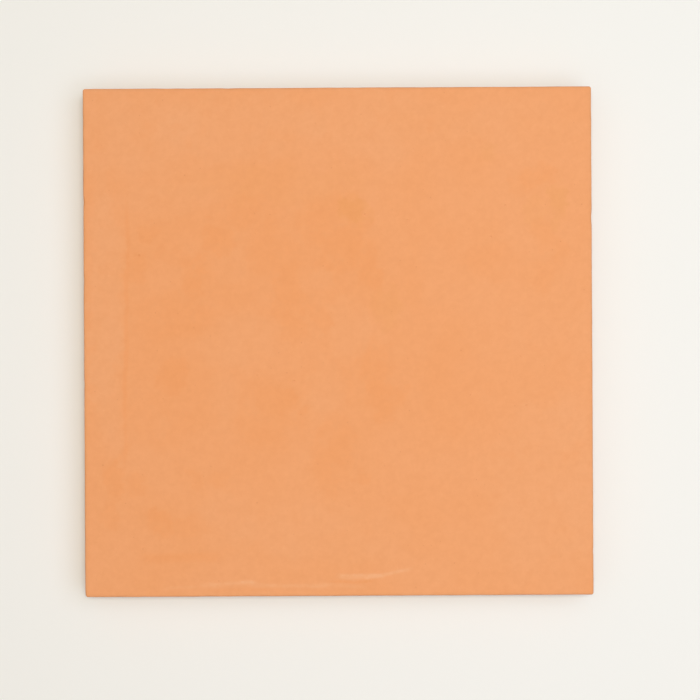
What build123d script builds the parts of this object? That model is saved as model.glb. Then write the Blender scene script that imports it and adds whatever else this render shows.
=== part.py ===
from build123d import *
import os

# Plain square cement tile: one pressed slab, lying on its back with the wear face up.
# Units are millimetres, +Z is up, and the origin is the centre of the back face.

# Driving dimensions
tile_length = 200.0  # side along X
tile_width = 200.0  # side along Y
tile_thickness = 16.0  # from the back face to the wear face
corner_radius = 1.0  # upright corners, as the pressing frame rounds them
face_arris_radius = 0.6  # eased edge where the wear face meets the sides
back_arris_bevel = 0.6  # bevel where the back face meets the sides


def make_tile() -> Part:
    """The whole tile as one solid: a rounded square slab with an eased face edge and a bevelled back edge."""
    with BuildPart() as slab:
        with BuildSketch(Plane.XY):
            RectangleRounded(tile_length, tile_width, corner_radius)
        extrude(amount=tile_thickness)
        wear_face = slab.faces().sort_by(Axis.Z)[-1]
        fillet(wear_face.edges(), radius=face_arris_radius)
        back_face = slab.faces().sort_by(Axis.Z)[0]
        chamfer(back_face.edges(), length=back_arris_bevel)
    return slab.part


os.makedirs("parts", exist_ok=True)
export_step(make_tile(), "parts/tile.step")
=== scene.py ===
"""Looks of a plain square cement tile that lies on its back with the wear face up.

The tile is one pressed slab of pigmented cement. Its mesh has the eased edges, nicks, pits and slight
unevenness of a pressed tile, and its wear face has the damp patches, lime bloom, drying line and scuffs
of a used one. Sizes and places on the tile are in millimetres, measured from the tile's centre, and
become metres where the mesh is made.
"""

import logging
import math
from dataclasses import dataclass, field
from enum import Enum, IntEnum

import bpy
import numpy as np
from mathutils import Euler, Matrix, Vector

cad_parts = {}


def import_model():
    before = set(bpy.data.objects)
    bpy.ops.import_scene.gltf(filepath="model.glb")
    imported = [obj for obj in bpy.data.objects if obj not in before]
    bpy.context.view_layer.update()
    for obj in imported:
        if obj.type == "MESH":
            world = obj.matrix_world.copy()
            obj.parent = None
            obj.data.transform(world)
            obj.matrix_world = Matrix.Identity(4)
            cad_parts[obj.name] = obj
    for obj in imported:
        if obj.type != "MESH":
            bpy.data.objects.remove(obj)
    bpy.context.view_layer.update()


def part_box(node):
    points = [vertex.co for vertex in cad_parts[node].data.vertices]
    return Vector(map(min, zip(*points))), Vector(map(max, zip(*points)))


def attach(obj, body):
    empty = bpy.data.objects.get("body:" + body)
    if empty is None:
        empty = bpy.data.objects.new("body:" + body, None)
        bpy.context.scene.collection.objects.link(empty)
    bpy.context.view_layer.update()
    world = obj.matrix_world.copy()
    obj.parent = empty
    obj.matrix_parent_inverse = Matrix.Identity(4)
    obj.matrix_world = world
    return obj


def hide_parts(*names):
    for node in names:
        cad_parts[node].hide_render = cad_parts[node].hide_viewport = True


LOG = logging.getLogger("cement_tile")
MM = 0.001

CAD_NODE = "tile"
CAD_BODY = "root"
PIECE_NAME = "cement_tile"
UV_NAME = "OFBake"
VALUE_SOCKET = "NodeSocketFloat"
VECTOR_SOCKET = "NodeSocketVector"

Colour = tuple[float, float, float]
Value = float | tuple | bpy.types.NodeSocket


class Zone(IntEnum):
    """Zones of the tile's surface. The value is the zone's material slot."""

    FACE = 0
    SIDE = 1
    BACK = 2


class Tint(Enum):
    """Ways in which a mark changes the cement. The value names the socket that its mask comes out of."""

    DAMP = "Damp"
    OLIVE = "Olive"
    BLOOM = "Bloom"
    SCUFF = "Scuff"


class Graph:
    """Adds nodes to one node tree and joins them, so that a formula reads as one line."""

    # Numbers of the Mix node's colour sockets
    MIX_FACTOR = 0
    MIX_FIRST = 6
    MIX_SECOND = 7
    MIX_RESULT = 2

    def __init__(self, tree: bpy.types.NodeTree) -> None:
        """Keeps the node tree that the nodes go into."""
        self.tree = tree

    @classmethod
    def fresh(cls, owner: bpy.types.Material | bpy.types.World) -> "Graph":
        """Starts the nodes of a new material or world.

        Args:
            owner: the material or world.

        Returns:
            The graph of its empty node tree.
        """
        owner.use_nodes = True
        owner.node_tree.nodes.clear()
        return cls(owner.node_tree)

    def add(self, kind: str, inputs: dict[str | int, Value], **settings: object) -> bpy.types.Node:
        """Adds a node.

        Args:
            kind: Blender's name of the node type.
            inputs: what goes into its sockets, by name or number: a number, a colour or another socket.
            settings: values of the node's own properties.

        Returns:
            The new node.
        """
        node = self.tree.nodes.new(kind)
        for name, value in settings.items():
            setattr(node, name, value)
        for name, value in inputs.items():
            self.feed(node.inputs[name], value)
        return node

    def feed(self, socket: bpy.types.NodeSocket, value: Value) -> None:
        """Links a socket to another one, or sets its number, vector or colour.

        Args:
            socket: the input socket.
            value: the output socket to link, or the plain value.
        """
        if isinstance(value, bpy.types.NodeSocket):
            self.tree.links.new(value, socket)
        elif socket.type == "RGBA":
            socket.default_value = (*value, 1.0)
        else:
            socket.default_value = value

    def math(self, operation: str, *values: Value) -> bpy.types.NodeSocket:
        """The result of a Math node with one to three inputs."""
        return self.add("ShaderNodeMath", dict(enumerate(values)), operation=operation).outputs[0]

    def vector(self, operation: str, first: Value, second: Value) -> bpy.types.NodeSocket:
        """The vector that a Vector Math node gives for two inputs, or for one and a scale."""
        inputs = {0: first, "Scale" if operation == "SCALE" else 1: second}
        return self.add("ShaderNodeVectorMath", inputs, operation=operation).outputs[0]

    def dot(self, first: Value, second: Value) -> bpy.types.NodeSocket:
        """The dot product of two vectors."""
        inputs = {0: first, 1: second}
        return self.add("ShaderNodeVectorMath", inputs, operation="DOT_PRODUCT").outputs["Value"]

    def noise(self, place: Value, frequency: Value, detail: float, rough: float = 0.5) -> bpy.types.Node:
        """A noise texture.

        Args:
            place: the coordinates, in millimetres.
            frequency: how many of its largest features there are to a millimetre.
            detail: how many finer layers it has.
            rough: how strong each finer layer is beside the one before.

        Returns:
            The texture node, with a value and a colour that both average one half.
        """
        inputs = {"Vector": place, "Scale": frequency, "Detail": detail, "Roughness": rough}
        return self.add("ShaderNodeTexNoise", inputs)

    def fade(self, value: Value, start: float, end: float) -> bpy.types.NodeSocket:
        """A smooth step from 0 at one value to 1 at another.

        Args:
            value: what is measured.
            start: where the step is still 0.
            end: where it has reached 1. It may lie below start.

        Returns:
            The socket of the step.
        """
        inputs = {"Value": value, "From Min": start, "From Max": end}
        node = self.add("ShaderNodeMapRange", inputs, interpolation_type="SMOOTHSTEP")
        return node.outputs["Result"]

    def mix(self, factor: Value, first: Value, second: Value, blend: str = "MIX") -> bpy.types.NodeSocket:
        """Mixes two colours.

        Args:
            factor: 0 for the first colour and 1 for the full mix.
            first: the colour below.
            second: the colour above.
            blend: how they mix, as Blender names it.

        Returns:
            The socket of the mixed colour.
        """
        inputs = {self.MIX_FACTOR: factor, self.MIX_FIRST: first, self.MIX_SECOND: second}
        node = self.add("ShaderNodeMix", inputs, data_type="RGBA", blend_type=blend)
        return node.outputs[self.MIX_RESULT]

    def scatter(
        self, place: Value, frequency: Value, radii: tuple[float, float], edge: tuple[float, float]
    ) -> tuple[bpy.types.NodeSocket, bpy.types.NodeSocket]:
        """Round spots at random places, one to a cell.

        Args:
            place: the coordinates, in millimetres.
            frequency: how many cells there are to a millimetre.
            radii: smallest and largest radius, as shares of a cell.
            edge: where a spot has ended and where it is still full, as shares of its radius.

        Returns:
            Sockets of a mask that is 1 inside the spots, and of a random value for each cell.
        """
        cells = self.add("ShaderNodeTexVoronoi", {"Vector": place, "Scale": frequency}).outputs
        picks = self.add("ShaderNodeSeparateColor", {0: cells["Color"]}).outputs
        radius = self.math("MULTIPLY_ADD", picks["Green"], radii[1] - radii[0], radii[0])
        inside = self.fade(self.math("DIVIDE", cells["Distance"], radius), *edge)
        return inside, picks["Red"]

    def group(self, tree: bpy.types.NodeTree, inputs: dict[str, Value]) -> bpy.types.NodeOutputs:
        """The outputs of a node group that is placed with its own input values."""
        return self.add("ShaderNodeGroup", inputs, node_tree=tree).outputs


class GroupGraph(Graph):
    """The graph of a new shader node group, with its inputs and outputs by name."""

    def __init__(self, name: str, inputs: dict[str, str], outputs: tuple[str, ...]) -> None:
        """Starts the group.

        Args:
            name: the group's name.
            inputs: Blender's socket type for each named input.
            outputs: names of the value outputs.
        """
        super().__init__(bpy.data.node_groups.new(name, "ShaderNodeTree"))
        for label, kind in inputs.items():
            self.tree.interface.new_socket(label, in_out="INPUT", socket_type=kind)
        for label in outputs:
            self.tree.interface.new_socket(label, in_out="OUTPUT", socket_type=VALUE_SOCKET)
        self.taken = self.add("NodeGroupInput", {}).outputs
        self.given = self.add("NodeGroupOutput", {}).inputs

    def give(self, name: str, value: Value) -> None:
        """Feeds one of the group's outputs."""
        self.feed(self.given[name], value)


@dataclass(frozen=True)
class FacePlaces:
    """Sockets with coordinates on the wear face, in millimetres.

    Attributes:
        ragged: coordinates with a strong warp, for patches with an uneven edge.
        steady: coordinates with only a slight waver, for streaks.
        uneven: a value from 0 to 1 that makes patches thicker and thinner.
        broken: a finer one, which breaks up scuffs.
    """

    ragged: bpy.types.NodeSocket
    steady: bpy.types.NodeSocket
    uneven: bpy.types.NodeSocket
    broken: bpy.types.NodeSocket


@dataclass(frozen=True)
class Mark:
    """What all marks on the wear face have.

    Attributes:
        tint: how the mark changes the cement.
        x: its middle to the right of the tile's centre.
        y: its middle above the tile's centre.
        reach: half its length.
        width: half its width.
        strength: its share of the tint's full effect.
        turn: its turn to the left, in degrees. Its length lies along X at 0.
    """

    tint: Tint
    x: float
    y: float
    reach: float
    width: float
    strength: float
    turn: float = 0.0

    def axes(self, graph: Graph, place: Value) -> tuple[bpy.types.NodeSocket, bpy.types.NodeSocket]:
        """Builds the nodes of the mark's own coordinates.

        Args:
            graph: the graph that they go into.
            place: coordinates on the wear face.

        Returns:
            Sockets of the places along and across the mark: 0 at its middle, 1 at its reach and width.
        """
        apart = graph.vector("SUBTRACT", place, (self.x, self.y, 0.0))
        cosine = math.cos(math.radians(self.turn))
        sine = math.sin(math.radians(self.turn))
        along = graph.dot(apart, (cosine / self.reach, sine / self.reach, 0.0))
        across = graph.dot(apart, (-sine / self.width, cosine / self.width, 0.0))
        return along, across


@dataclass(frozen=True)
class Blotch(Mark):
    """A soft patch on the wear face."""

    # Squared distances at which a patch has ended and is still full, where its reach is 1
    ENDED = 1.2
    FULL = 0.3

    def mask(self, graph: Graph, places: FacePlaces) -> bpy.types.NodeSocket:
        """Builds the nodes of this patch.

        Args:
            graph: the graph that they go into.
            places: coordinates on the wear face.

        Returns:
            The socket of a mask that is strongest at the centre and 0 outside.
        """
        along, across = self.axes(graph, places.ragged)
        squared = graph.math("MULTIPLY_ADD", across, across, graph.math("MULTIPLY", along, along))
        body = graph.math("MULTIPLY", graph.fade(squared, self.ENDED, self.FULL), self.strength)
        return graph.math("MULTIPLY", body, places.uneven)


@dataclass(frozen=True)
class Streak(Mark):
    """A narrow mark on the wear face, straight or bowed.

    Attributes:
        bow: how far its middle lies to the left of its ends.
        gaps: how far it is broken up, from 0 to 1.
    """

    bow: float = 0.0
    gaps: float = 0.0

    # Shares of its width and, squared, of its reach within which a streak is full
    FULL_WIDTH = 0.1
    FULL_REACH = 0.35

    def mask(self, graph: Graph, places: FacePlaces) -> bpy.types.NodeSocket:
        """Builds the nodes of this streak.

        Args:
            graph: the graph that they go into.
            places: coordinates on the wear face.

        Returns:
            The socket of a mask that is strongest along the streak and fades at its ends.
        """
        along, across = self.axes(graph, places.steady)
        squared = graph.math("MULTIPLY", along, along)
        line = graph.math("MULTIPLY", graph.math("SUBTRACT", 1.0, squared), self.bow / self.width)
        gap = graph.math("ABSOLUTE", graph.math("SUBTRACT", across, line))
        thin = graph.fade(gap, 1.0, self.FULL_WIDTH)
        body = graph.math("MULTIPLY", thin, graph.fade(squared, 1.0, self.FULL_REACH))
        breaks = graph.math("MULTIPLY_ADD", places.broken, self.gaps, 1.0 - self.gaps)
        return graph.math("MULTIPLY", graph.math("MULTIPLY", body, self.strength), breaks)


# Damp zone left of the centre, with darker patches around two pale ones
DAMP_ZONE = (
    Blotch(Tint.DAMP, -28, 4, 66, 72, 0.30),
    Blotch(Tint.DAMP, -47, 40, 7, 8, 0.95, 35),
    Blotch(Tint.DAMP, -36, 51, 13, 7, 0.60),
    Blotch(Tint.DAMP, -25, 34, 13, 14, 0.65, 15),
    Blotch(Tint.DAMP, -19, 14, 7, 17, 0.65, 8),
    Blotch(Tint.DAMP, -7, 8, 5, 7, 0.55, 20),
    Blotch(Tint.DAMP, -1, 48, 15, 12, 0.80),
    Blotch(Tint.DAMP, 4, 35, 12, 8, 0.75),
    Blotch(Tint.DAMP, 14, 27, 5, 9, 0.70, 20),
    Blotch(Tint.DAMP, -75, 43, 6, 5, 0.60),
    Blotch(Tint.DAMP, -79, 29, 6, 7, 0.60),
    Blotch(Tint.DAMP, -56, 27, 6, 9, 0.80),
    Blotch(Tint.DAMP, -65, 33, 7, 5, 0.40),
    Blotch(Tint.DAMP, -66, 11, 20, 12, 0.38),
    Blotch(Tint.DAMP, -64, -13, 6, 8, 0.75),
    Blotch(Tint.DAMP, -70, -31, 15, 13, 0.38),
    Blotch(Tint.DAMP, -24, -24, 10, 6, 0.80, 8),
    Blotch(Tint.DAMP, -30, -28, 15, 17, 0.50),
    Blotch(Tint.DAMP, 16, -10, 7, 12, 0.60),
    Blotch(Tint.DAMP, 20, -22, 9, 8, 0.80),
    Blotch(Tint.DAMP, -2, -45, 11, 16, 0.65),
    Blotch(Tint.DAMP, 11, -53, 3, 3, 0.60),
    Blotch(Tint.OLIVE, 6, 52, 7, 5, 0.75),
    Blotch(Tint.OLIVE, 19, 13, 6, 9, 0.50),
    Blotch(Tint.OLIVE, -25, 62, 45, 8, 0.22),
    Blotch(Tint.BLOOM, -40, 2, 17, 13, 0.55),
    Blotch(Tint.BLOOM, -46, -22, 7, 14, 0.40),
    Blotch(Tint.BLOOM, 5, 5, 8, 16, 0.55),
    Blotch(Tint.BLOOM, -6, 25, 7, 6, 0.50),
    Blotch(Tint.BLOOM, -4, -20, 9, 12, 0.48),
    Blotch(Tint.BLOOM, -66, 56, 20, 9, 0.40),
    Blotch(Tint.BLOOM, -42, 30, 7, 9, 0.40),
)

# Smaller patches and the drying line at the left edge and the lower left corner
DAMP_CORNER = (
    Blotch(Tint.DAMP, -89, -54, 4, 10, 0.95, 8),
    Blotch(Tint.DAMP, -81, -55, 4, 5, 0.60),
    Blotch(Tint.DAMP, -91, -68, 4, 6, 0.60),
    Blotch(Tint.DAMP, -58, -54, 4, 4, 0.50),
    Blotch(Tint.DAMP, -47, -54, 6, 5, 0.50),
    Blotch(Tint.DAMP, -71, -70, 7, 5, 0.90, -20),
    Blotch(Tint.DAMP, -59, -71, 8, 5, 0.50),
    Streak(Tint.DAMP, -62, -84.5, 18, 3.0, 0.95, 1, 0.0, 0.3),
    Streak(Tint.DAMP, -83.1, 16, 46, 1.3, 1.0, 89.3, 0.0, 0.2),
    Streak(Tint.DAMP, -83.7, -24, 30, 1.2, 0.8, 89, 0.0, 0.3),
    Streak(Tint.DAMP, -87, -46, 10, 1.8, 0.70, 55, 0.0, 0.4),
)

# Patches and specks towards the right edge
DAMP_RIGHT = (
    Blotch(Tint.DAMP, 77, 65, 8, 5, 0.80, 20),
    Blotch(Tint.DAMP, 70, 61, 4, 5, 0.45),
    Blotch(Tint.OLIVE, 85, 54, 3.5, 10, 0.75),
    Blotch(Tint.OLIVE, 77, 50, 5, 8, 0.40),
    Blotch(Tint.DAMP, 80, 42, 6, 5, 0.55),
    Blotch(Tint.DAMP, 87, 36, 4, 6, 0.50),
    Blotch(Tint.DAMP, 78, 26, 5, 10, 0.35),
    Blotch(Tint.DAMP, 60, 32, 14, 8, 0.40),
    Blotch(Tint.OLIVE, 60, 74, 4, 6, 0.40),
    Blotch(Tint.DAMP, 38, 84, 2, 2, 0.60),
    Blotch(Tint.DAMP, 82, -25, 6, 5, 0.40),
    Blotch(Tint.DAMP, 46, -18, 14, 24, 0.35),
    Blotch(Tint.DAMP, 34, 34, 12, 30, 0.20),
)

# Pale lime bloom along the edges
LIME_BLOOM = (
    Blotch(Tint.BLOOM, -92, 22, 8, 48, 0.80),
    Blotch(Tint.BLOOM, -90, -16, 7, 28, 0.60),
    Blotch(Tint.BLOOM, -84, 84, 30, 22, 0.65),
    Blotch(Tint.BLOOM, -36, 84, 36, 15, 0.60),
    Blotch(Tint.BLOOM, 20, 84, 36, 15, 0.50),
    Blotch(Tint.BLOOM, 72, 84, 30, 12, 0.30),
    Blotch(Tint.BLOOM, 84, -58, 30, 42, 0.68),
    Blotch(Tint.BLOOM, 84, 4, 20, 22, 0.35),
    Blotch(Tint.BLOOM, -6, -76, 40, 14, 0.40),
    Blotch(Tint.BLOOM, -44, -70, 14, 12, 0.35),
)

# Scuffs of something hard that was dragged along the lower edge
SCUFFS = (
    Streak(Tint.SCUFF, 8.0, -92.2, 10.5, 1.6, 0.80, 2, 0.0, 0.4),
    Streak(Tint.SCUFF, 19.5, -91.0, 10.5, 1.1, 0.75, 10, 0.0, 0.4),
    Streak(Tint.SCUFF, 5.0, -91.6, 6.0, 0.8, 0.35, 2, 0.0, 0.4),
    Streak(Tint.SCUFF, 0.0, -96.0, 12.0, 1.1, 0.35, -1, 0.0, 0.5),
    Streak(Tint.SCUFF, -43.0, -95.2, 13.0, 1.3, 0.50, 2, 0.3, 0.5),
    Streak(Tint.SCUFF, -36.0, -94.4, 3.5, 0.9, 0.45, 4, 0.0, 0.3),
    Streak(Tint.SCUFF, -20.0, -95.9, 17.0, 1.2, 0.52, -2, 0.2, 0.6),
    Streak(Tint.SCUFF, -62.0, -96.4, 8.0, 0.8, 0.30, 3, 0.0, 0.6),
    Streak(Tint.DAMP, 5.0, -94.3, 11.0, 0.9, 0.90, 2, 0.0, 0.4),
    Streak(Tint.DAMP, -38.0, -97.2, 17.0, 1.0, 0.70, 1, 0.0, 0.5),
)

FACE_MARKS = DAMP_ZONE + DAMP_CORNER + DAMP_RIGHT + LIME_BLOOM + SCUFFS


class CementNodes:
    """The shader node groups that the tile's finishes share, each built once."""

    SCALED = {"Place": VECTOR_SOCKET, "Frequency": VALUE_SOCKET}
    # Frequencies beside that of the grain, of its mottle and of the places for a grain of sand
    MOTTLE_PACE = 0.4
    SAND_PACE = 1.3
    # Share of those places with sand, its radii in cells, its edge, and its height beside the grain's
    SAND_SHARE = 0.2
    SAND_RADII = (0.1, 0.34)
    SAND_EDGE = (1.2, 0.5)
    SAND_HEIGHT = 0.25
    # Radii of pinprick pores, in cells, and their edge
    PORE_RADII = (0.04, 0.09)
    PORE_EDGE = (1.3, 0.6)
    # Distance between stronger stretches of the edge band (edge wear, and painted shade of the eased edge
    # on the wear face), its strength in the weakest ones, and its edge
    EDGE_BAND_LENGTH = 5.0
    EDGE_BAND_LEAST = 0.5
    EDGE_BAND_FADE = (1.0, 0.1)
    # Distances over which the marks of the wear face waver, and how far, for patches and for streaks
    SLOW_LENGTH = 17.0
    QUICK_LENGTH = 4.0
    PATCH_WAVER = (13.0, 10.0)
    STREAK_WAVER = (2.5, 1.0)
    # Sizes of the thin places in patches and of the breaks in scuffs
    THIN_LENGTH = 6.0
    BREAK_LENGTH = 1.6
    # Values of each effect's noise that become 0 and 1
    CLOUD_RANGE = (0.3, 0.7)
    PASTE_RANGE = (0.28, 0.72)
    EDGE_BAND_RANGE = (0.35, 0.65)
    THIN_RANGE = (0.15, 0.55)
    BREAK_RANGE = (0.38, 0.6)

    def __init__(self) -> None:
        """Builds every group."""
        self.clouds = self.build_clouds()
        self.grain = self.build_grain()
        self.pores = self.build_pores()
        self.edge_wear_and_shade = self.build_edge_wear_and_shade()
        self.face_marks = self.build_face_marks(FACE_MARKS)

    def build_clouds(self) -> bpy.types.NodeTree:
        """Slow changes of tone, as the wet mix leaves them.

        Returns:
            The group: Place and Frequency in; Tone from 0 to 1 out.
        """
        graph = GroupGraph("Press clouds", self.SCALED, ("Tone",))
        noise = graph.noise(graph.taken["Place"], graph.taken["Frequency"], detail=4.0, rough=0.55)
        graph.give("Tone", graph.fade(noise.outputs[0], *self.CLOUD_RANGE))
        return graph.tree

    def build_grain(self) -> bpy.types.NodeTree:
        """Fine grain of cement paste with single grains of sand in it.

        Returns:
            The group: Place and Frequency in; Tone from 0 to 1, Sand mask and Height out.
        """
        graph = GroupGraph("Cement grain", self.SCALED, ("Tone", "Sand", "Height"))
        place = graph.taken["Place"]
        frequency = graph.taken["Frequency"]
        slower = graph.math("MULTIPLY", frequency, self.MOTTLE_PACE)
        fine = graph.noise(place, frequency, detail=4.0, rough=0.6).outputs[0]
        mottle = graph.noise(place, slower, detail=2.0).outputs[0]
        paste = graph.math("MULTIPLY", graph.math("ADD", fine, mottle), 0.5)
        cells = graph.math("MULTIPLY", frequency, self.SAND_PACE)
        inside, pick = graph.scatter(place, cells, self.SAND_RADII, self.SAND_EDGE)
        sand = graph.math("MULTIPLY", inside, graph.math("GREATER_THAN", pick, 1.0 - self.SAND_SHARE))
        graph.give("Tone", graph.fade(paste, *self.PASTE_RANGE))
        graph.give("Sand", sand)
        graph.give("Height", graph.math("MULTIPLY_ADD", sand, self.SAND_HEIGHT, fine))
        return graph.tree

    def build_pores(self) -> bpy.types.NodeTree:
        """Pinprick pores, too small for the mesh.

        Returns:
            The group: Place, Frequency and Share of cells with a pore in; Mask out.
        """
        graph = GroupGraph("Pinprick pores", {**self.SCALED, "Share": VALUE_SOCKET}, ("Mask",))
        taken = graph.taken
        inside, pick = graph.scatter(
            taken["Place"], taken["Frequency"], self.PORE_RADII, self.PORE_EDGE
        )
        chosen = graph.math("LESS_THAN", pick, taken["Share"])
        graph.give("Mask", graph.math("MULTIPLY", inside, chosen))
        return graph.tree

    def build_edge_wear_and_shade(self) -> bpy.types.NodeTree:
        """An uneven band along the edges of the slab, for edge wear and for painted shade of the eased
        edge.

        Of the distances to the slab's three pairs of faces, a surface point's smallest is about 0, and the
        middle one is its distance from the nearest edge.

        Returns:
            The group: Place, Half size and Band in; Mask out.
        """
        inputs = {"Place": VECTOR_SOCKET, "Half size": VECTOR_SOCKET, "Band": VALUE_SOCKET}
        graph = GroupGraph("Edge wear and shade", inputs, ("Mask",))
        place = graph.taken["Place"]
        away = graph.add("ShaderNodeVectorMath", {0: place}, operation="ABSOLUTE").outputs[0]
        gaps = graph.vector("SUBTRACT", graph.taken["Half size"], away)
        gap_x, gap_y, gap_z = graph.add("ShaderNodeSeparateXYZ", {0: gaps}).outputs
        lesser = graph.math("MINIMUM", gap_x, gap_y)
        greater = graph.math("MAXIMUM", gap_x, gap_y)
        gap = graph.math("MAXIMUM", lesser, graph.math("MINIMUM", greater, gap_z))
        near = graph.fade(graph.math("DIVIDE", gap, graph.taken["Band"]), *self.EDGE_BAND_FADE)
        noise = graph.noise(place, 1.0 / self.EDGE_BAND_LENGTH, detail=3.0).outputs[0]
        stretches = graph.fade(noise, *self.EDGE_BAND_RANGE)
        uneven = graph.math("MULTIPLY_ADD", stretches, 1.0 - self.EDGE_BAND_LEAST, self.EDGE_BAND_LEAST)
        graph.give("Mask", graph.math("MULTIPLY", near, uneven))
        return graph.tree

    def build_face_marks(self, marks: tuple[Blotch | Streak, ...]) -> bpy.types.NodeTree:
        """All named marks of the wear face, added up by tint.

        Args:
            marks: the marks.

        Returns:
            The group: Place in, and one mask out for each tint.
        """
        outputs = tuple(tint.value for tint in Tint)
        graph = GroupGraph("Face marks", {"Place": VECTOR_SOCKET}, outputs)
        place = graph.taken["Place"]
        middle = (0.5, 0.5, 0.5)
        slow = graph.noise(place, 1.0 / self.SLOW_LENGTH, detail=2.0).outputs["Color"]
        quick = graph.noise(place, 1.0 / self.QUICK_LENGTH, detail=3.0, rough=0.6).outputs["Color"]
        slow, quick = (graph.vector("SUBTRACT", noise, middle) for noise in (slow, quick))
        ragged, steady = (
            graph.vector("ADD", graph.vector("SCALE", slow, wide), graph.vector("SCALE", quick, narrow))
            for wide, narrow in (self.PATCH_WAVER, self.STREAK_WAVER)
        )
        thin = graph.noise(place, 1.0 / self.THIN_LENGTH, detail=3.0, rough=0.6).outputs[0]
        breaks = graph.noise(place, 1.0 / self.BREAK_LENGTH, detail=3.0).outputs[0]
        places = FacePlaces(
            ragged=graph.vector("ADD", place, ragged),
            steady=graph.vector("ADD", place, steady),
            uneven=graph.fade(thin, *self.THIN_RANGE),
            broken=graph.fade(breaks, *self.BREAK_RANGE),
        )
        for tint in Tint:
            total: Value = 0.0
            for mark in marks:
                if mark.tint is tint:
                    total = graph.math("ADD", mark.mask(graph, places), total)
            graph.give(tint.value, graph.math("MINIMUM", total, 1.0))
        return graph.tree


def tinted(colour: Colour, tint: Colour) -> Colour:
    """A colour with each of its parts multiplied."""
    return tuple(part * share for part, share in zip(colour, tint))


@dataclass(frozen=True)
class MarkTints:
    """What a full mark of each tint multiplies the wear face's colour by."""

    damp: Colour
    olive: Colour
    bloom: Colour
    scuff: Colour

    def paint(self, graph: Graph, groups: CementNodes, place: Value, colour: Value) -> bpy.types.NodeSocket:
        """Lays the marks over a colour.

        Args:
            graph: the material's graph.
            groups: the node groups that the finishes share.
            place: coordinates in millimetres.
            colour: the cement's colour below the marks.

        Returns:
            The socket of the marked colour.
        """
        masks = graph.group(groups.face_marks, {"Place": place})
        for tint, multiplier in (
            (Tint.BLOOM, self.bloom),
            (Tint.DAMP, self.damp),
            (Tint.OLIVE, self.olive),
            (Tint.SCUFF, self.scuff),
        ):
            colour = graph.mix(masks[tint.value], colour, multiplier, "MULTIPLY")
        return colour


@dataclass(frozen=True)
class CementFinish:
    """A finish of pigmented cement.

    Attributes:
        name: the material's name.
        colour: colour of the cement.
        cloud_tint: what the clouds multiply it by where they are deepest.
        cloud_length: distance between clouds.
        grain_dark: what the grain multiplies it by where it is darkest.
        grain_light: what the grain multiplies it by where it is lightest.
        grain_size: distance between grains.
        grain_height: height of the grain's bump.
        sand_tint: what a grain of sand multiplies it by.
        pore_shade_tint: what a pinprick pore multiplies it by, as painted shade in a hole too small for the
            mesh.
        pore_spacing: distance between places for a pore.
        pore_share: share of those places that have one.
        edge_wear_and_shade_tint: what the band along the edges multiplies it by: paler for worn edges,
            darker for painted shade of the eased edge.
        edge_wear_and_shade_band: how far that band reaches in from an edge.
        roughness: how dull the surface is.
        marks: tints of the named marks, on the wear face only.
    """

    name: str
    colour: Colour
    cloud_tint: Colour
    cloud_length: float
    grain_dark: Colour
    grain_light: Colour
    grain_size: float
    grain_height: float
    sand_tint: Colour
    pore_shade_tint: Colour
    pore_spacing: float
    pore_share: float
    edge_wear_and_shade_tint: Colour
    edge_wear_and_shade_band: float
    roughness: float
    marks: MarkTints | None = None

    # How far the grain changes the roughness, and the level of dull reflections
    ROUGH_SPREAD = 0.08
    SPECULAR = 0.3

    def material(self, groups: CementNodes, middle: Vector, half_size: Vector) -> bpy.types.Material:
        """Builds the material.

        Args:
            groups: the node groups that the finishes share.
            middle: the middle of the tile's box, in millimetres.
            half_size: half the box's sides, in millimetres.

        Returns:
            The new material.
        """
        made = bpy.data.materials.new(self.name)
        graph = Graph.fresh(made)
        coordinates = graph.add("ShaderNodeTexCoord", {}).outputs["Object"]
        place = graph.vector("SUBTRACT", graph.vector("SCALE", coordinates, 1.0 / MM), tuple(middle))
        cloud = graph.group(groups.clouds, {"Place": place, "Frequency": 1.0 / self.cloud_length})
        grain = graph.group(groups.grain, {"Place": place, "Frequency": 1.0 / self.grain_size})
        pore_inputs = {"Place": place, "Frequency": 1.0 / self.pore_spacing, "Share": self.pore_share}
        pores = graph.group(groups.pores, pore_inputs)
        edge_inputs = {"Place": place, "Half size": tuple(half_size), "Band": self.edge_wear_and_shade_band}
        edge = graph.group(groups.edge_wear_and_shade, edge_inputs)

        colour = graph.mix(cloud["Tone"], self.colour, tinted(self.colour, self.cloud_tint))
        if self.marks:
            colour = self.marks.paint(graph, groups, place, colour)
        paste = graph.mix(grain["Tone"], self.grain_dark, self.grain_light)
        colour = graph.mix(1.0, colour, paste, "MULTIPLY")
        colour = graph.mix(grain["Sand"], colour, self.sand_tint, "MULTIPLY")
        # Band along the edges: on the wear face a darker band of painted shade of the eased edge, on the
        # sides and back a paler band of wear.
        colour = graph.mix(edge["Mask"], colour, self.edge_wear_and_shade_tint, "MULTIPLY")
        # Darker pinprick pores: painted shade in holes too small for the mesh; their dent also goes into
        # the bump below.
        colour = graph.mix(pores["Mask"], colour, self.pore_shade_tint, "MULTIPLY")
        least_rough = self.roughness - self.ROUGH_SPREAD / 2.0
        rough = graph.math("MULTIPLY_ADD", grain["Tone"], self.ROUGH_SPREAD, least_rough)
        height = graph.math("SUBTRACT", grain["Height"], pores["Mask"])
        bump = graph.add("ShaderNodeBump", {"Height": height, "Distance": self.grain_height * MM})
        surface = {
            "Base Color": colour,
            "Roughness": rough,
            "Specular IOR Level": self.SPECULAR,
            "Normal": bump.outputs["Normal"],
        }
        shader = graph.add("ShaderNodeBsdfPrincipled", surface).outputs["BSDF"]
        graph.add("ShaderNodeOutputMaterial", {"Surface": shader})
        return made


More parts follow.
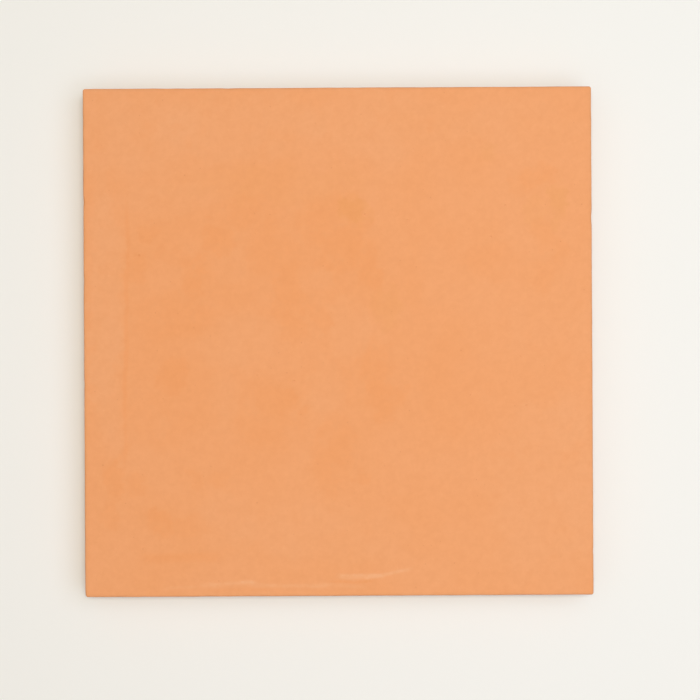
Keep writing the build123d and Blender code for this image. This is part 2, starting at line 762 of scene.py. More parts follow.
TERRACOTTA: Colour = (0.857, 0.361, 0.1455)
FACE_FINISH = CementFinish(
    name="cement_wear_face",
    colour=TERRACOTTA,
    cloud_tint=(0.996, 0.975, 0.935),
    cloud_length=26.0,
    grain_dark=(0.980, 0.966, 0.934),
    grain_light=(1.018, 1.032, 1.061),
    grain_size=1.5,
    grain_height=0.03,
    sand_tint=(1.014, 1.045, 1.090),
    pore_shade_tint=(0.890, 0.820, 0.750),
    pore_spacing=3.0,
    pore_share=0.3,
    # Darker band along the eased edge: painted shade of the edge that turns away from the light, not wear.
    edge_wear_and_shade_tint=(0.930, 0.935, 0.945),
    edge_wear_and_shade_band=1.6,
    roughness=0.74,
    marks=MarkTints(
        damp=(0.996, 0.955, 0.882),
        olive=(0.970, 0.970, 0.860),
        bloom=(0.995, 1.036, 1.100),
        scuff=(1.030, 1.170, 1.420),
    ),
)
SIDE_FINISH = CementFinish(
    name="cement_side",
    colour=tinted(TERRACOTTA, (0.89, 0.91, 0.94)),
    cloud_tint=(1.03, 1.09, 1.18),
    cloud_length=9.0,
    grain_dark=(0.90, 0.87, 0.83),
    grain_light=(1.06, 1.10, 1.15),
    grain_size=1.4,
    grain_height=0.08,
    sand_tint=(1.07, 1.17, 1.32),
    pore_shade_tint=(0.74, 0.65, 0.58),
    pore_spacing=2.0,
    pore_share=0.4,
    edge_wear_and_shade_tint=(1.04, 1.09, 1.16),
    edge_wear_and_shade_band=1.8,
    roughness=0.84,
)
BACK_FINISH = CementFinish(
    name="cement_back",
    colour=tinted(TERRACOTTA, (0.93, 0.95, 0.98)),
    cloud_tint=(0.95, 0.91, 0.86),
    cloud_length=19.0,
    grain_dark=(0.88, 0.84, 0.80),
    grain_light=(1.06, 1.10, 1.16),
    grain_size=2.0,
    grain_height=0.12,
    sand_tint=(1.05, 1.15, 1.30),
    pore_shade_tint=(0.72, 0.62, 0.54),
    pore_spacing=2.6,
    pore_share=0.5,
    edge_wear_and_shade_tint=(1.03, 1.08, 1.16),
    edge_wear_and_shade_band=3.0,
    roughness=0.9,
)


@dataclass(frozen=True)
class Relief:
    """One layer of smooth random relief, from noise on a lattice.

    Attributes:
        length_x: distance between lattice points along the first direction.
        length_y: distance between lattice points along the second direction.
        depth: how far the relief reaches below the nominal surface.
        seed: start of its random draws.
    """

    length_x: float
    length_y: float
    depth: float
    seed: int

    LATTICE = 256

    def sample(self, x: np.ndarray, y: np.ndarray) -> np.ndarray:
        """Depths below the nominal surface.

        Args:
            x: places along the first direction.
            y: places along the second direction.

        Returns:
            Depths from 0 to the layer's full depth.
        """
        lattice = np.random.default_rng(self.seed).random((self.LATTICE, self.LATTICE))
        cell_x = np.floor(x / self.length_x).astype(int)
        cell_y = np.floor(y / self.length_y).astype(int)
        part_x = x / self.length_x - cell_x
        part_y = y / self.length_y - cell_y
        part_x = part_x**2 * (3.0 - 2.0 * part_x)
        part_y = part_y**2 * (3.0 - 2.0 * part_y)
        low_x = cell_x % self.LATTICE
        high_x = (cell_x + 1) % self.LATTICE
        low_y = cell_y % self.LATTICE
        high_y = (cell_y + 1) % self.LATTICE
        low = lattice[low_x, low_y] * (1.0 - part_x) + lattice[high_x, low_y] * part_x
        high = lattice[low_x, high_y] * (1.0 - part_x) + lattice[high_x, high_y] * part_x
        return self.depth * (low * (1.0 - part_y) + high * part_y)


@dataclass(frozen=True)
class EdgeSection:
    """The section of the tile's edge, as points from the wear face's border down to the back face's border.

    Attributes:
        inset: how far each point lies inside the outline.
        height: each point's height.
        wear_in: how far the point moves inwards for each millimetre of wear.
        wear_down: how far it moves down for each millimetre of wear.
        drag: share of the mould's marks that it takes.
        zones: the zone of each stretch between two points.
    """

    inset: np.ndarray
    height: np.ndarray
    wear_in: np.ndarray
    wear_down: np.ndarray
    drag: np.ndarray
    zones: list[Zone]


@dataclass(frozen=True)
class Outline:
    """The tile's outline as a loop of points, to the left round the tile seen from above.

    Attributes:
        x: X of the points.
        y: Y of the points.
        along: places of the points along the outline.
        step: length from each point to the next.
        lost: how much has worn or chipped off the wear face's edge there.
        sag: how far the wear face's border lies below its nominal height there.
        lift: how far the back's border lies above its nominal height there.
    """

    x: np.ndarray
    y: np.ndarray
    along: np.ndarray
    step: np.ndarray
    lost: np.ndarray
    sag: np.ndarray
    lift: np.ndarray


@dataclass(frozen=True)
class Chart:
    """A rectangle of the texture that takes one stretch of the surface."""

    u: float
    v: float
    width: float
    height: float

    def place(self, across: np.ndarray, up: np.ndarray) -> np.ndarray:
        """Texture coordinates of places given as shares of the rectangle's sides."""
        return np.stack([self.u + self.width * across, self.v + self.height * up], axis=-1)


FACE_CHART = Chart(0.004, 0.004, 0.650, 0.650)
BACK_CHART = Chart(0.662, 0.004, 0.334, 0.334)
SIDE_CHARTS = tuple(Chart(0.004, 0.662 + 0.084 * side, 0.992, 0.078) for side in range(4))


@dataclass
class Patchwork:
    """The growing mesh: its points, and blocks of faces that have the same number of corners.

    Attributes:
        points: the points, in millimetres.
        corners: point numbers of each block's faces.
        places: texture coordinates of those corners.
        zones: the zones of each block's faces.
    """

    points: np.ndarray
    corners: list[np.ndarray] = field(default_factory=list)
    places: list[np.ndarray] = field(default_factory=list)
    zones: list[np.ndarray] = field(default_factory=list)

    def add(self, corners: np.ndarray, places: np.ndarray, zone: Zone | np.ndarray) -> None:
        """Adds faces that have the same number of corners.

        Args:
            corners: point numbers, one row for each face.
            places: texture coordinates of those corners.
            zone: the zone of all the faces, or of each.
        """
        self.corners.append(corners)
        self.places.append(places)
        self.zones.append(np.broadcast_to(np.asarray(zone, int), len(corners)))

    def keep(self, block: int, kept: np.ndarray) -> None:
        """Drops the faces of one block that aren't to be kept."""
        for blocks in (self.corners, self.places, self.zones):
            blocks[block] = blocks[block][kept]

    def mesh(self, name: str) -> bpy.types.Mesh:
        """Makes the Blender mesh.

        Args:
            name: the mesh's name.

        Returns:
            The mesh, smooth, with its texture coordinates and material numbers.
        """
        made = bpy.data.meshes.new(name)
        faces = [row for block in self.corners for row in block.tolist()]
        made.from_pydata((self.points * MM).tolist(), [], faces)
        layer = made.uv_layers.new(name=UV_NAME)
        flat = np.concatenate([block.reshape(-1) for block in self.places])
        layer.uv.foreach_set("vector", flat.astype(np.float32))
        made.polygons.foreach_set("material_index", np.concatenate(self.zones).astype(np.int32))
        made.shade_smooth()
        made.update()
        return made


@dataclass(frozen=True)
class Pits:
    """Small round pits that air bubbles leave in a zone, each inside one cell of the mesh.

    Attributes:
        zone: the zone that they are in.
        count: how many there are.
        least: smallest radius.
        most: largest radius.
        seed: start of their random draws.
    """

    zone: Zone
    count: int
    least: float
    most: float
    seed: int

    # Points around a pit, the first one's direction, which is that of the cell's first corner, and
    # the share of the pit's radius and depth for each ring of them
    RIM = 8
    FIRST_ANGLE = -0.75 * math.pi
    RINGS = ((1.0, 0.0), (0.82, 0.55), (0.45, 0.95))
    BOTTOM_DEPTH = 1.03
    # Ranges of a pit's depth beside its radius, and of its ragged rim
    DEPTHS = (0.7, 1.3)
    RAGGED = (0.82, 1.12)
    # Least width of a zone's cells that can hold pits, and of a cell beside the largest radius
    CELL_WIDTH = 0.9
    ROOM = 2.1

    def sink(self, patchwork: Patchwork) -> None:
        """Sinks the pits into cells of the zone.

        Args:
            patchwork: the tile's points and faces.
        """
        draws = np.random.default_rng(self.seed)
        blocks = [
            number
            for number, zones in enumerate(patchwork.zones)
            if zones[0] == self.zone and self.is_wide(patchwork, number)
        ]
        weights = np.array([len(patchwork.corners[number]) for number in blocks], float)
        shares = draws.multinomial(self.count, weights / weights.sum())
        for block, count in zip(blocks, shares):
            if count:
                self.sink_in_block(patchwork, block, int(count), draws)

    def is_wide(self, patchwork: Patchwork, block: int) -> bool:
        """Whether faces have four corners and are wide enough for a pit.

        Args:
            patchwork: the tile's points and faces.
            block: number of the block of faces.

        Returns:
            True where pits fit.
        """
        corners = patchwork.corners[block]
        if corners.shape[1] != 4:
            return False
        spots = patchwork.points[corners]
        return float(np.median(np.linalg.norm(spots[:, 1] - spots[:, 0], axis=-1))) > self.CELL_WIDTH

    def sink_in_block(
        self, patchwork: Patchwork, block: int, count: int, draws: np.random.Generator
    ) -> None:
        """Replaces cells of one block of faces by cells with a pit.

        Args:
            patchwork: the tile's points and faces.
            block: number of the block.
            count: how many pits it gets.
            draws: the random draws.
        """
        corners = patchwork.corners[block]
        spots = patchwork.points[corners]
        wide = np.linalg.norm(spots[:, 1] - spots[:, 0], axis=-1)
        tall = np.linalg.norm(spots[:, 3] - spots[:, 0], axis=-1)
        roomy = np.flatnonzero(np.minimum(wide, tall) > self.ROOM * self.most)
        chosen = draws.choice(roomy, min(count, len(roomy)), replace=False)
        radius = self.least + (self.most - self.least) * draws.random(len(chosen)) ** 2
        depth = radius * draws.uniform(*self.DEPTHS, len(chosen))
        ragged = draws.uniform(*self.RAGGED, (len(chosen), self.RIM))

        angle = self.FIRST_ANGLE + 2.0 * math.pi / self.RIM * np.arange(self.RIM)
        across = radius[:, None] * ragged * np.cos(angle) / wide[chosen, None]
        up = radius[:, None] * ragged * np.sin(angle) / tall[chosen, None]
        weights = [self.cell_weights(0.5 + across * share, 0.5 + up * share) for share, _ in self.RINGS]
        middle = np.full((len(chosen), 1), 0.5)
        weights.append(self.cell_weights(middle, middle))
        sinks = [np.full(self.RIM, sink) for _, sink in self.RINGS] + [np.array([self.BOTTOM_DEPTH])]

        quad = spots[chosen]
        quad_places = patchwork.places[block][chosen]
        normal = np.cross(quad[:, 2] - quad[:, 0], quad[:, 3] - quad[:, 1])
        normal /= np.linalg.norm(normal, axis=-1, keepdims=True)
        weight = np.concatenate(weights, axis=1)
        drop = depth[:, None] * np.concatenate(sinks)
        added = weight @ quad - normal[:, None, :] * drop[:, :, None]
        new = len(patchwork.points) + np.arange(drop.size).reshape(drop.shape)
        numbers = np.concatenate([corners[chosen], new], axis=1)
        places = np.concatenate([quad_places, weight @ quad_places], axis=1)

        patchwork.points = np.concatenate([patchwork.points, added.reshape(-1, 3)])
        patchwork.keep(block, ~np.isin(np.arange(len(corners)), chosen))
        for pattern in self.patterns():
            sides = pattern.shape[1]
            faces = numbers[:, pattern].reshape(-1, sides)
            patchwork.add(faces, places[:, pattern].reshape(-1, sides, 2), self.zone)

    @staticmethod
    def cell_weights(across: np.ndarray, up: np.ndarray) -> np.ndarray:
        """Shares of a cell's four corners at places inside it."""
        return np.stack([(1 - across) * (1 - up), across * (1 - up), across * up, (1 - across) * up], -1)

    def patterns(self) -> tuple[np.ndarray, np.ndarray]:
        """How the points of one cell with a pit are joined.

        The cell's four corners come first, then the rings from the rim down, and then the bottom.

        Returns:
            Point numbers of the triangles around the rim and at the bottom, and of the four-sided walls.
        """
        rings = 4 + np.arange(len(self.RINGS) * self.RIM).reshape(-1, self.RIM)
        bottom = rings[-1, -1] + 1
        rim = rings[0]
        triangles = []
        for corner in range(4):
            after = (corner + 1) % 4
            near, middle, far = rim[2 * corner], rim[2 * corner + 1], rim[(2 * corner + 2) % self.RIM]
            triangles += [(corner, middle, near), (corner, after, middle), (after, far, middle)]
        triangles += [(near, far, bottom) for near, far in zip(rings[-1], np.roll(rings[-1], -1))]
        walls = [
            np.stack([upper, np.roll(upper, -1), np.roll(lower, -1), lower], -1)
            for upper, lower in zip(rings[:-1], rings[1:])
        ]
        return np.array(triangles), np.concatenate(walls)


@dataclass
class CementTile:
    """The tile: a pressed slab with rounded corners, an eased face edge and a bevelled back edge.

    Attributes:
        low: lowest corner of the tile's box, in metres.
        high: highest corner of the tile's box, in metres.
        corner_radius: radius of the upright corners.
        arris_radius: radius of the edge around the wear face.
        back_bevel: bevel around the back face.
        core_cells: grid cells between the corners, along each side.
        corner_cells: grid cells over each corner's radius.
        arris_steps: steps around the eased edge.
        side_rows: rows of cells down the sides.
        face_relief: unevenness of the wear face.
        side_relief: marks that the mould left down the sides.
        back_relief: unevenness of the back.
        edge_relief: wear along the edge of the wear face.
        edge_share: share of that wear where the eased edge meets the wear face and the side.
        wear_drop: how far down the side the wear reaches.
        sag_drop: how far down the side the edge follows the wear face's unevenness.
        lift_rise: how far up the side the edge follows the back's unevenness.
        nick_count: how many nicks that edge has.
        nick_depth: depth of the deepest nick.
        nick_reach: half the length of a nick, on average.
        nick_inward: how far wear and nicks reach in over the wear face.
        nick_seed: start of the nicks' random draws.
        pits: the pits that air bubbles left.
    """

    low: Vector
    high: Vector
    corner_radius: float = 1.0
    arris_radius: float = 0.6
    back_bevel: float = 0.6
    core_cells: int = 176
    corner_cells: int = 4
    arris_steps: int = 4
    side_rows: int = 11
    face_relief: tuple[Relief, ...] = (
        Relief(62.0, 62.0, 0.050, 11),
        Relief(15.0, 15.0, 0.020, 12),
        Relief(3.4, 3.4, 0.012, 13),
    )
    side_relief: tuple[Relief, ...] = (
        Relief(9.0, 40.0, 0.070, 21),
        Relief(2.9, 9.0, 0.060, 22),
        Relief(2.6, 2.6, 0.030, 23),
    )
    back_relief: tuple[Relief, ...] = (
        Relief(34.0, 34.0, 0.10, 31),
        Relief(7.0, 7.0, 0.07, 32),
        Relief(2.7, 2.7, 0.08, 33),
    )
    edge_relief: tuple[Relief, ...] = (
        Relief(3.3, 1.0, 0.08, 41),
        Relief(11.0, 1.0, 0.06, 42),
    )
    edge_share: float = 0.45
    wear_drop: float = 2.0
    sag_drop: float = 3.0
    lift_rise: float = 1.5
    nick_count: int = 14
    nick_depth: float = 0.30
    nick_reach: float = 1.6
    nick_inward: float = 0.9
    nick_seed: int = 5
    pits: tuple[Pits, ...] = (
        Pits(Zone.FACE, 10, 0.10, 0.20, 61),
        Pits(Zone.SIDE, 90, 0.18, 0.45, 62),
        Pits(Zone.BACK, 150, 0.20, 0.48, 63),
    )

    # Ranges of the nicks' depth and reach, as shares of the deepest and of the average
    NICK_DEPTHS = (0.35, 1.0)
    NICK_REACHES = (0.6, 1.3)
    # Points over the bevel, as shares of it
    BEVEL_STEPS = (0.15, 0.5, 0.85, 1.0)

    @property
    def middle(self) -> Vector:
        """The middle of the tile's box, in millimetres."""
        return (self.low + self.high) / 2.0 / MM

    @property
    def half_size(self) -> Vector:
        """Half the sides of the tile's box, in millimetres."""
        return (self.high - self.low) / 2.0 / MM

    @property
    def half_x(self) -> float:
        """Half the tile's length, in millimetres."""
        return self.half_size.x

    @property
    def half_y(self) -> float:
        """Half the tile's width, in millimetres."""
        return self.half_size.y

    @property
    def thickness(self) -> float:
        """The tile's thickness, in millimetres."""
        return 2.0 * self.half_size.z

    @property
    def cells(self) -> int:
        """Grid cells along each side."""
        return self.core_cells + 2 * self.corner_cells

    def axis_points(self, half: float, inset: float) -> np.ndarray:
        """Grid lines along one axis: evenly spaced, with closer ones over the corners.

        Args:
            half: half the tile's size along the axis.
            inset: how far the outline lies inside the tile's own.

        Returns:
            Their places, in order.
        """
        core = half - self.corner_radius
        straight = np.linspace(-core, core, self.core_cells + 1)
        steps = np.arange(1, self.corner_cells + 1) / self.corner_cells
        corner = core + steps * (self.corner_radius - inset)
        return np.concatenate([-corner[::-1], straight, corner])

    def grid(self, inset: float) -> tuple[np.ndarray, np.ndarray]:
        """A grid over the tile whose border follows the rounded outline.

        Args:
            inset: how far its border lies inside the tile's own outline.

        Returns:
            X and Y of the grid's points, in rows along X.
        """
        x, y = np.meshgrid(self.axis_points(self.half_x, inset), self.axis_points(self.half_y, inset))
        radius = self.corner_radius - inset
        core_x = self.half_x - self.corner_radius
        core_y = self.half_y - self.corner_radius
        over_x = np.clip((np.abs(x) - core_x) / radius, 0.0, 1.0)
        over_y = np.clip((np.abs(y) - core_y) / radius, 0.0, 1.0)
        round_x = core_x + radius * over_x * np.sqrt(1.0 - over_y**2 / 2.0)
        round_y = core_y + radius * over_y * np.sqrt(1.0 - over_x**2 / 2.0)
        x = np.where(over_x > 0.0, np.sign(x) * round_x, x)
        y = np.where(over_y > 0.0, np.sign(y) * round_y, y)
        return x, y

    def border(self) -> tuple[np.ndarray, np.ndarray]:
        """Rows and columns of a grid's border points, side by side, to the left round the tile from above.

        Returns:
            The rows and the columns.
        """
        run = np.arange(self.cells)
        still = np.zeros_like(run)
        rows = np.concatenate([still, run, still + self.cells, self.cells - run])
        columns = np.concatenate([run, still + self.cells, self.cells - run, still])
        return rows, columns

    def border_gap(self, x: np.ndarray, y: np.ndarray) -> tuple[np.ndarray, np.ndarray]:
        """How far each point of a grid lies from the grid's border.

        Args:
            x: X of the grid's points, in rows along X.
            y: Y of the grid's points.

        Returns:
            The distance to the nearest border line, and the number of the border point across from it.
        """
        rows, columns = np.indices(x.shape)
        gaps = np.stack([y - y.min(), x.max() - x, y.max() - y, x - x.min()])
        numbers = np.stack([columns, self.cells + rows, 3 * self.cells - columns, 4 * self.cells - rows])
        side = gaps.argmin(axis=0)[np.newaxis]
        gap = np.take_along_axis(gaps, side, axis=0)[0]
        number = np.take_along_axis(numbers, side, axis=0)[0]
        return gap, number % (4 * self.cells)

    def section(self) -> EdgeSection:
        """The edge's section: the eased edge, the side and the bevel.

        Wear pulls the eased edge towards the centre of its radius, most of all in the middle of the curve,
        and thins out down the side.

        Returns:
            The section's points.
        """
        top = self.thickness
        turn = np.linspace(0.0, math.pi / 2.0, self.arris_steps + 1)
        arris_in = self.arris_radius * (1.0 - np.sin(turn))
        arris_z = top - self.arris_radius * (1.0 - np.cos(turn))
        side_z = np.linspace(top - self.arris_radius, self.back_bevel, self.side_rows + 1)[1:]
        bevel_share = np.array(self.BEVEL_STEPS)
        bevel_in = bevel_share * self.back_bevel
        share = self.edge_share + (1.0 - self.edge_share) * np.sin(2.0 * turn)
        side_wear = self.edge_share * np.clip(1.0 - (arris_z[-1] - side_z) / self.wear_drop, 0.0, 1.0)
        still = np.zeros_like(bevel_in)
        zones = [Zone.FACE] * self.arris_steps + [Zone.SIDE] * self.side_rows + [Zone.BACK] * len(bevel_in)
        return EdgeSection(
            inset=np.concatenate([arris_in, np.zeros_like(side_z), bevel_in]),
            height=np.concatenate([arris_z, side_z, self.back_bevel - bevel_in]),
            wear_in=np.concatenate([share * np.sin(turn), side_wear, still]),
            wear_down=np.concatenate([share * np.cos(turn), np.zeros_like(side_z), still]),
            drag=1.0 - np.concatenate([share, side_wear, bevel_share]),
            zones=zones,
        )

    def edge_wear(self, along: np.ndarray, round_length: float) -> np.ndarray:
        """How much has worn or chipped off the edge.

        Args:
            along: places along the outline.
            round_length: length of the whole outline.

        Returns:
            The depth lost at each place.
        """
        lost = sum(layer.sample(along, np.zeros_like(along)) for layer in self.edge_relief)
        draws = np.random.default_rng(self.nick_seed)
        for _ in range(self.nick_count):
            middle = draws.uniform(0.0, round_length)
            depth = self.nick_depth * draws.uniform(*self.NICK_DEPTHS)
            reach = self.nick_reach * draws.uniform(*self.NICK_REACHES)
            gap = np.abs(along - middle)
            gap = np.minimum(gap, round_length - gap)
            lost = lost + depth * np.exp(-((gap / reach) ** 2))
        return lost

    def build(self) -> bpy.types.Object:
        """Builds the tile's mesh and puts it in the scene.

        Returns:
            The tile's object, without materials.
        """
        patchwork = self.slab()
        for pits in self.pits:
            pits.sink(patchwork)
        made = bpy.data.objects.new(PIECE_NAME, patchwork.mesh(PIECE_NAME))
        bpy.context.scene.collection.objects.link(made)
        return made

    def outline(self, sag: np.ndarray, lift: np.ndarray) -> Outline:
        """The tile's outline, with what has happened to its edges.

        Args:
            sag: how far the points of the wear face's grid lie below their nominal height.
            lift: how far the points of the back's grid lie above theirs.

        Returns:
            The outline.
        """
        border = self.border()
        x, y = (axis[border] for axis in self.grid(0.0))
        step = np.hypot(np.roll(x, -1) - x, np.roll(y, -1) - y)
        along = np.concatenate([[0.0], np.cumsum(step)[:-1]])
        lost = self.edge_wear(along, float(step.sum()))
        return Outline(x, y, along, step, lost, sag[border], lift[border])

    def slab(self) -> Patchwork:
        """The slab's points and faces, before the pits.

        Returns:
            The points in millimetres, in the tile's own place, and all faces.
        """
        section = self.section()
        face_x, face_y = self.grid(section.inset[0])
        back_x, back_y = self.grid(section.inset[-1])
        sag = sum(layer.sample(face_x, face_y) for layer in self.face_relief)
        lift = sum(layer.sample(back_x, back_y) for layer in self.back_relief)
        outline = self.outline(sag, lift)
        gap, nearest = self.border_gap(face_x, face_y)
        near = np.clip(1.0 - gap / self.nick_inward, 0.0, 1.0) ** 2
        face_z = self.thickness - sag - outline.lost[nearest] * section.wear_down[0] * near

        caps = [
            np.stack(axes, -1).reshape(-1, 3) for axes in ((face_x, face_y, face_z), (back_x, back_y, lift))
        ]
        rings = [self.ring(section, row, outline) for row in range(1, len(section.inset) - 1)]
        points = np.concatenate(caps + rings)
        points += np.array([self.middle.x, self.middle.y, self.low.z / MM])
        face_id = np.arange(sag.size).reshape(sag.shape)
        back_id = face_id + sag.size
        ring_id = 2 * sag.size + np.arange(len(rings) * outline.x.size).reshape(len(rings), -1)
        border = self.border()

        made = Patchwork(points)
        self.add_cap(made, face_id, FACE_CHART, Zone.FACE)
        self.add_cap(made, back_id[:, ::-1], BACK_CHART, Zone.BACK)
        self.add_edge(made, [face_id[border], *ring_id, back_id[border]], outline, section)
        return made

    def ring(self, section: EdgeSection, row: int, outline: Outline) -> np.ndarray:
        """One ring of points around the tile.

        Args:
            section: the edge's section.
            row: number of the section's point that the ring goes through.
            outline: the tile's outline.

        Returns:
            The ring's points.
        """
        level = section.height[row]
        levels = np.full_like(outline.along, level)
        drag = sum(layer.sample(outline.along, levels) for layer in self.side_relief)
        sunk = section.inset[row] + outline.lost * section.wear_in[row] + drag * section.drag[row]
        share = 1.0 - sunk / self.corner_radius
        core_x = np.clip(outline.x, self.corner_radius - self.half_x, self.half_x - self.corner_radius)
        core_y = np.clip(outline.y, self.corner_radius - self.half_y, self.half_y - self.corner_radius)
        ring_x = core_x + (outline.x - core_x) * share
        ring_y = core_y + (outline.y - core_y) * share
        sagging = max(0.0, 1.0 - (self.thickness - level) / self.sag_drop)
        lifting = max(0.0, 1.0 - level / self.lift_rise)
        worn_z = level - outline.lost * section.wear_down[row]
        ring_z = worn_z - outline.sag * sagging + outline.lift * lifting
        return np.stack([ring_x, ring_y, ring_z], -1)

    def add_cap(self, patchwork: Patchwork, numbers: np.ndarray, chart: Chart, zone: Zone) -> None:
        """Adds the faces of a flat face.

        Args:
            patchwork: where the faces go.
            numbers: point numbers in a grid that reads to the left round each cell, seen from outside.
            chart: the texture rectangle.
            zone: the faces' zone.
        """
        corners = np.stack(
            [numbers[:-1, :-1], numbers[:-1, 1:], numbers[1:, 1:], numbers[1:, :-1]], -1
        ).reshape(-1, 4)
        spots = patchwork.points[corners]
        low = patchwork.points[numbers].min(axis=(0, 1))
        high = patchwork.points[numbers].max(axis=(0, 1))
        across, up, _ = np.moveaxis((spots - low) / (high - low), -1, 0)
        if zone is Zone.BACK:
            across = 1.0 - across
        patchwork.add(corners, chart.place(across, up), zone)

    def add_edge(
        self, patchwork: Patchwork, loops: list[np.ndarray], outline: Outline, section: EdgeSection
    ) -> None:
        """Adds the faces between the loops of points around the tile.

        Args:
            patchwork: where the faces go.
            loops: point numbers of each loop, from the wear face down to the back.
            outline: the tile's outline.
            section: the edge's section, with one point for each loop.
        """
        lengths = np.hypot(np.diff(section.inset), np.diff(section.height))
        down = np.concatenate([[0.0], np.cumsum(lengths)])
        down /= down[-1]
        for band, zone in enumerate(section.zones):
            upper = loops[band]
            lower = loops[band + 1]
            corners = np.stack([upper, lower, np.roll(lower, -1), np.roll(upper, -1)], -1)
            for side, chart in enumerate(SIDE_CHARTS):
                run = slice(side * self.cells, (side + 1) * self.cells)
                start = outline.along[run] - outline.along[run.start]
                end = start + outline.step[run]
                across = np.stack([start, start, end, end], -1) / end[-1]
                up = np.broadcast_to(1.0 - down[[band, band + 1, band + 1, band]], across.shape)
                patchwork.add(corners[run], chart.place(across, up), zone)

    def dress(self, made: bpy.types.Object, groups: CementNodes) -> None:
        """Gives each zone its finish.

        Args:
            made: the tile's object.
            groups: the node groups that the finishes share.
        """
        for finish in (FACE_FINISH, SIDE_FINISH, BACK_FINISH):
            made.data.materials.append(finish.material(groups, self.middle, self.half_size))

    def seat(self, made: bpy.types.Object) -> None:
        """Lets the tile stand for its CAD node and ride on its body.

        Args:
            made: the tile's object.
        """
        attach(made, CAD_BODY)
        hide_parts(CAD_NODE)


@dataclass(frozen=True)
class Lamp:
    """A soft light that hangs level above the floor.

    Attributes:
        name: the light's name.
        place: its centre, in metres.
        size: its length and width, in metres.
        power: its power, in watts.
        colour: the colour of its light.
    """

    name: str
    place: tuple[float, float, float]
    size: tuple[float, float]
    power: float
    colour: Colour

    def hang(self) -> None:
        """Puts the light in the scene, facing down."""
        data = bpy.data.lights.new(self.name, "AREA")
        data.shape = "RECTANGLE"
        data.size, data.size_y = self.size
        data.energy = self.power
        data.color = self.colour
        made = bpy.data.objects.new(self.name, data)
        made.location = self.place
        made.visible_camera = False
        bpy.context.scene.collection.objects.link(made)


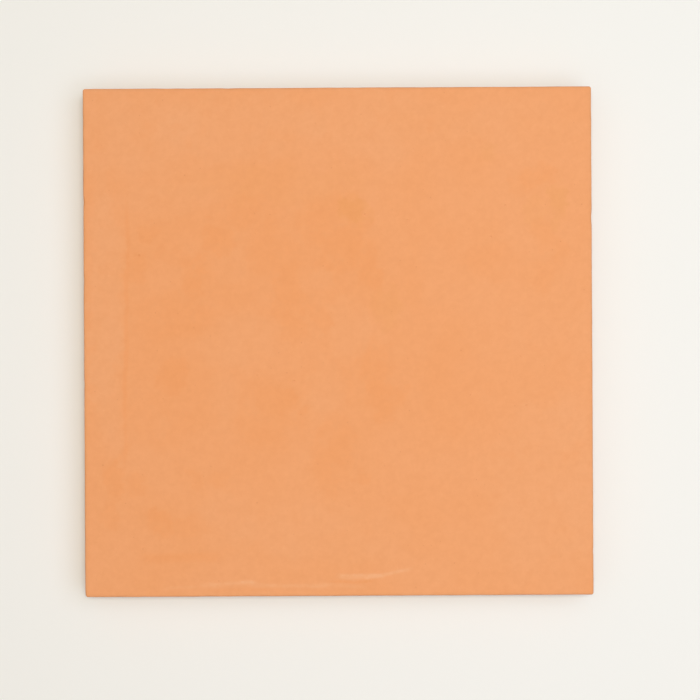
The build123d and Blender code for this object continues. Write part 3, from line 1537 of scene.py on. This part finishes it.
@dataclass
class Studio:
    """Pale floor, soft light from above and a camera that looks straight down.

    Attributes:
        floor_colour: colour of the floor, and of the background beyond it.
        floor_bounce: the floor's colour where it throws light back at the tile.
        floor_reach: half the floor's side, in metres.
        floor_gap: how far the floor lies below the tile, in metres.
        plain_from: distance from the tile at which the floor starts to turn into background, in metres.
        plain_to: distance at which it is all background, in metres.
        sky_strength: strength of the light from all around.
        lamps: the lights.
        lens: the camera's focal length, in millimetres.
        sensor: width of the camera's sensor, in millimetres.
        image_side: the image's side, in pixels.
        tile_side: side of the tile in the image, in pixels.
        tile_middle: the tile's middle in the image, in pixels from the upper left.
        tile_turn: turn of the tile in the image to the left, in degrees.
    """

    floor_colour: Colour = (0.900, 0.884, 0.822)
    floor_bounce: Colour = (0.68, 0.66, 0.62)
    floor_reach: float = 6.0
    floor_gap: float = 0.00005
    plain_from: float = 0.20
    plain_to: float = 0.55
    sky_strength: float = 0.183
    lamps: tuple[Lamp, ...] = (
        Lamp("overhead_softbox", (0.04, 0.10, 1.4), (0.48, 0.25), 9.24, (0.948, 1.0, 0.922)),
        Lamp("ceiling_panel", (-0.27, -0.02, 1.4), (2.28, 2.28), 7.7, (1.0, 0.705, 0.600)),
        Lamp("side_softbox", (0.40, -0.04, 0.86), (0.73, 0.82), 3.41, (0.669, 0.774, 1.0)),
    )
    lens: float = 85.0
    sensor: float = 36.0
    image_side: float = 700.0
    tile_side: float = 509.0
    tile_middle: tuple[float, float] = (338.2, 341.7)
    tile_turn: float = 0.3

    def build(self, tile: CementTile) -> None:
        """Builds the floor, the light and the camera around the tile.

        Args:
            tile: the tile that they are for.
        """
        self.lay_floor(tile)
        self.light_sky()
        for lamp in self.lamps:
            lamp.hang()
        self.aim_camera(tile)

    def lay_floor(self, tile: CementTile) -> None:
        """Lays the floor just below the tile.

        Args:
            tile: the tile that lies on it.
        """
        reach = self.floor_reach
        corners = [(-reach, -reach, 0.0), (reach, -reach, 0.0), (reach, reach, 0.0), (-reach, reach, 0.0)]
        mesh = bpy.data.meshes.new("floor")
        mesh.from_pydata(corners, [], [(0, 1, 2, 3)])
        mesh.materials.append(self.floor_material())
        floor = bpy.data.objects.new("floor", mesh)
        floor.location.z = tile.low.z - self.floor_gap
        bpy.context.scene.collection.objects.link(floor)

    def floor_material(self) -> bpy.types.Material:
        """A dull pale floor that the camera sees turn into plain background far from the tile.

        Returns:
            The new material.
        """
        made = bpy.data.materials.new("pale_floor")
        graph = Graph.fresh(made)
        seen = graph.add("ShaderNodeLightPath", {}).outputs["Is Camera Ray"]
        colour = graph.mix(seen, self.floor_bounce, self.floor_colour)
        dull = {"Base Color": colour, "Roughness": 0.95, "Specular IOR Level": 0.1}
        near = graph.add("ShaderNodeBsdfPrincipled", dull).outputs["BSDF"]
        far = graph.add("ShaderNodeEmission", {"Color": self.floor_colour}).outputs["Emission"]
        place = graph.add("ShaderNodeTexCoord", {}).outputs["Object"]
        away = graph.add("ShaderNodeVectorMath", {0: place}, operation="LENGTH").outputs["Value"]
        share = graph.math("MULTIPLY", graph.fade(away, self.plain_from, self.plain_to), seen)
        both = graph.add("ShaderNodeMixShader", {0: share, 1: near, 2: far}).outputs["Shader"]
        graph.add("ShaderNodeOutputMaterial", {"Surface": both})
        return made

    def light_sky(self) -> None:
        """Sets the even light from all around, and the pale background that the camera sees."""
        world = bpy.data.worlds.new("studio")
        graph = Graph.fresh(world)
        even = {"Color": (1.0, 1.0, 1.0), "Strength": self.sky_strength}
        light = graph.add("ShaderNodeBackground", even).outputs["Background"]
        pale = graph.add("ShaderNodeBackground", {"Color": self.floor_colour}).outputs["Background"]
        seen = graph.add("ShaderNodeLightPath", {}).outputs["Is Camera Ray"]
        both = graph.add("ShaderNodeMixShader", {0: seen, 1: light, 2: pale}).outputs["Shader"]
        graph.add("ShaderNodeOutputWorld", {"Surface": both})
        bpy.context.scene.world = world

    def aim_camera(self, tile: CementTile) -> None:
        """Hangs the camera over the tile, so that the tile has its place and size in the image.

        Args:
            tile: the tile that it looks at.
        """
        scene = bpy.context.scene
        metres_per_pixel = (tile.high.x - tile.low.x) / self.tile_side
        distance = self.image_side * metres_per_pixel * self.lens / self.sensor
        middle = (tile.low + tile.high) / 2.0
        right = (self.image_side / 2.0 - self.tile_middle[0]) * metres_per_pixel
        down = (self.image_side / 2.0 - self.tile_middle[1]) * metres_per_pixel
        data = bpy.data.cameras.new("camera")
        data.lens = self.lens
        data.sensor_width = self.sensor
        camera = bpy.data.objects.new("camera", data)
        camera.location = (middle.x + right, middle.y - down, tile.high.z + distance)
        camera.rotation_euler = Euler((0.0, 0.0, -math.radians(self.tile_turn)))
        scene.collection.objects.link(camera)
        scene.camera = camera


def main() -> None:
    """Builds the tile and the studio around it, and reports each piece."""
    logging.basicConfig(level=logging.INFO, format="%(name)s: %(message)s")
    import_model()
    bpy.context.scene.view_settings.view_transform = "Standard"

    tile = CementTile(*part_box(CAD_NODE))
    made = tile.build()
    tile.dress(made, CementNodes())
    tile.seat(made)
    LOG.info("%s: %d points, %d faces", made.name, len(made.data.vertices), len(made.data.polygons))

    Studio().build(tile)
    LOG.info("studio: floor, light and camera")


if __name__ == "__main__":
    main()
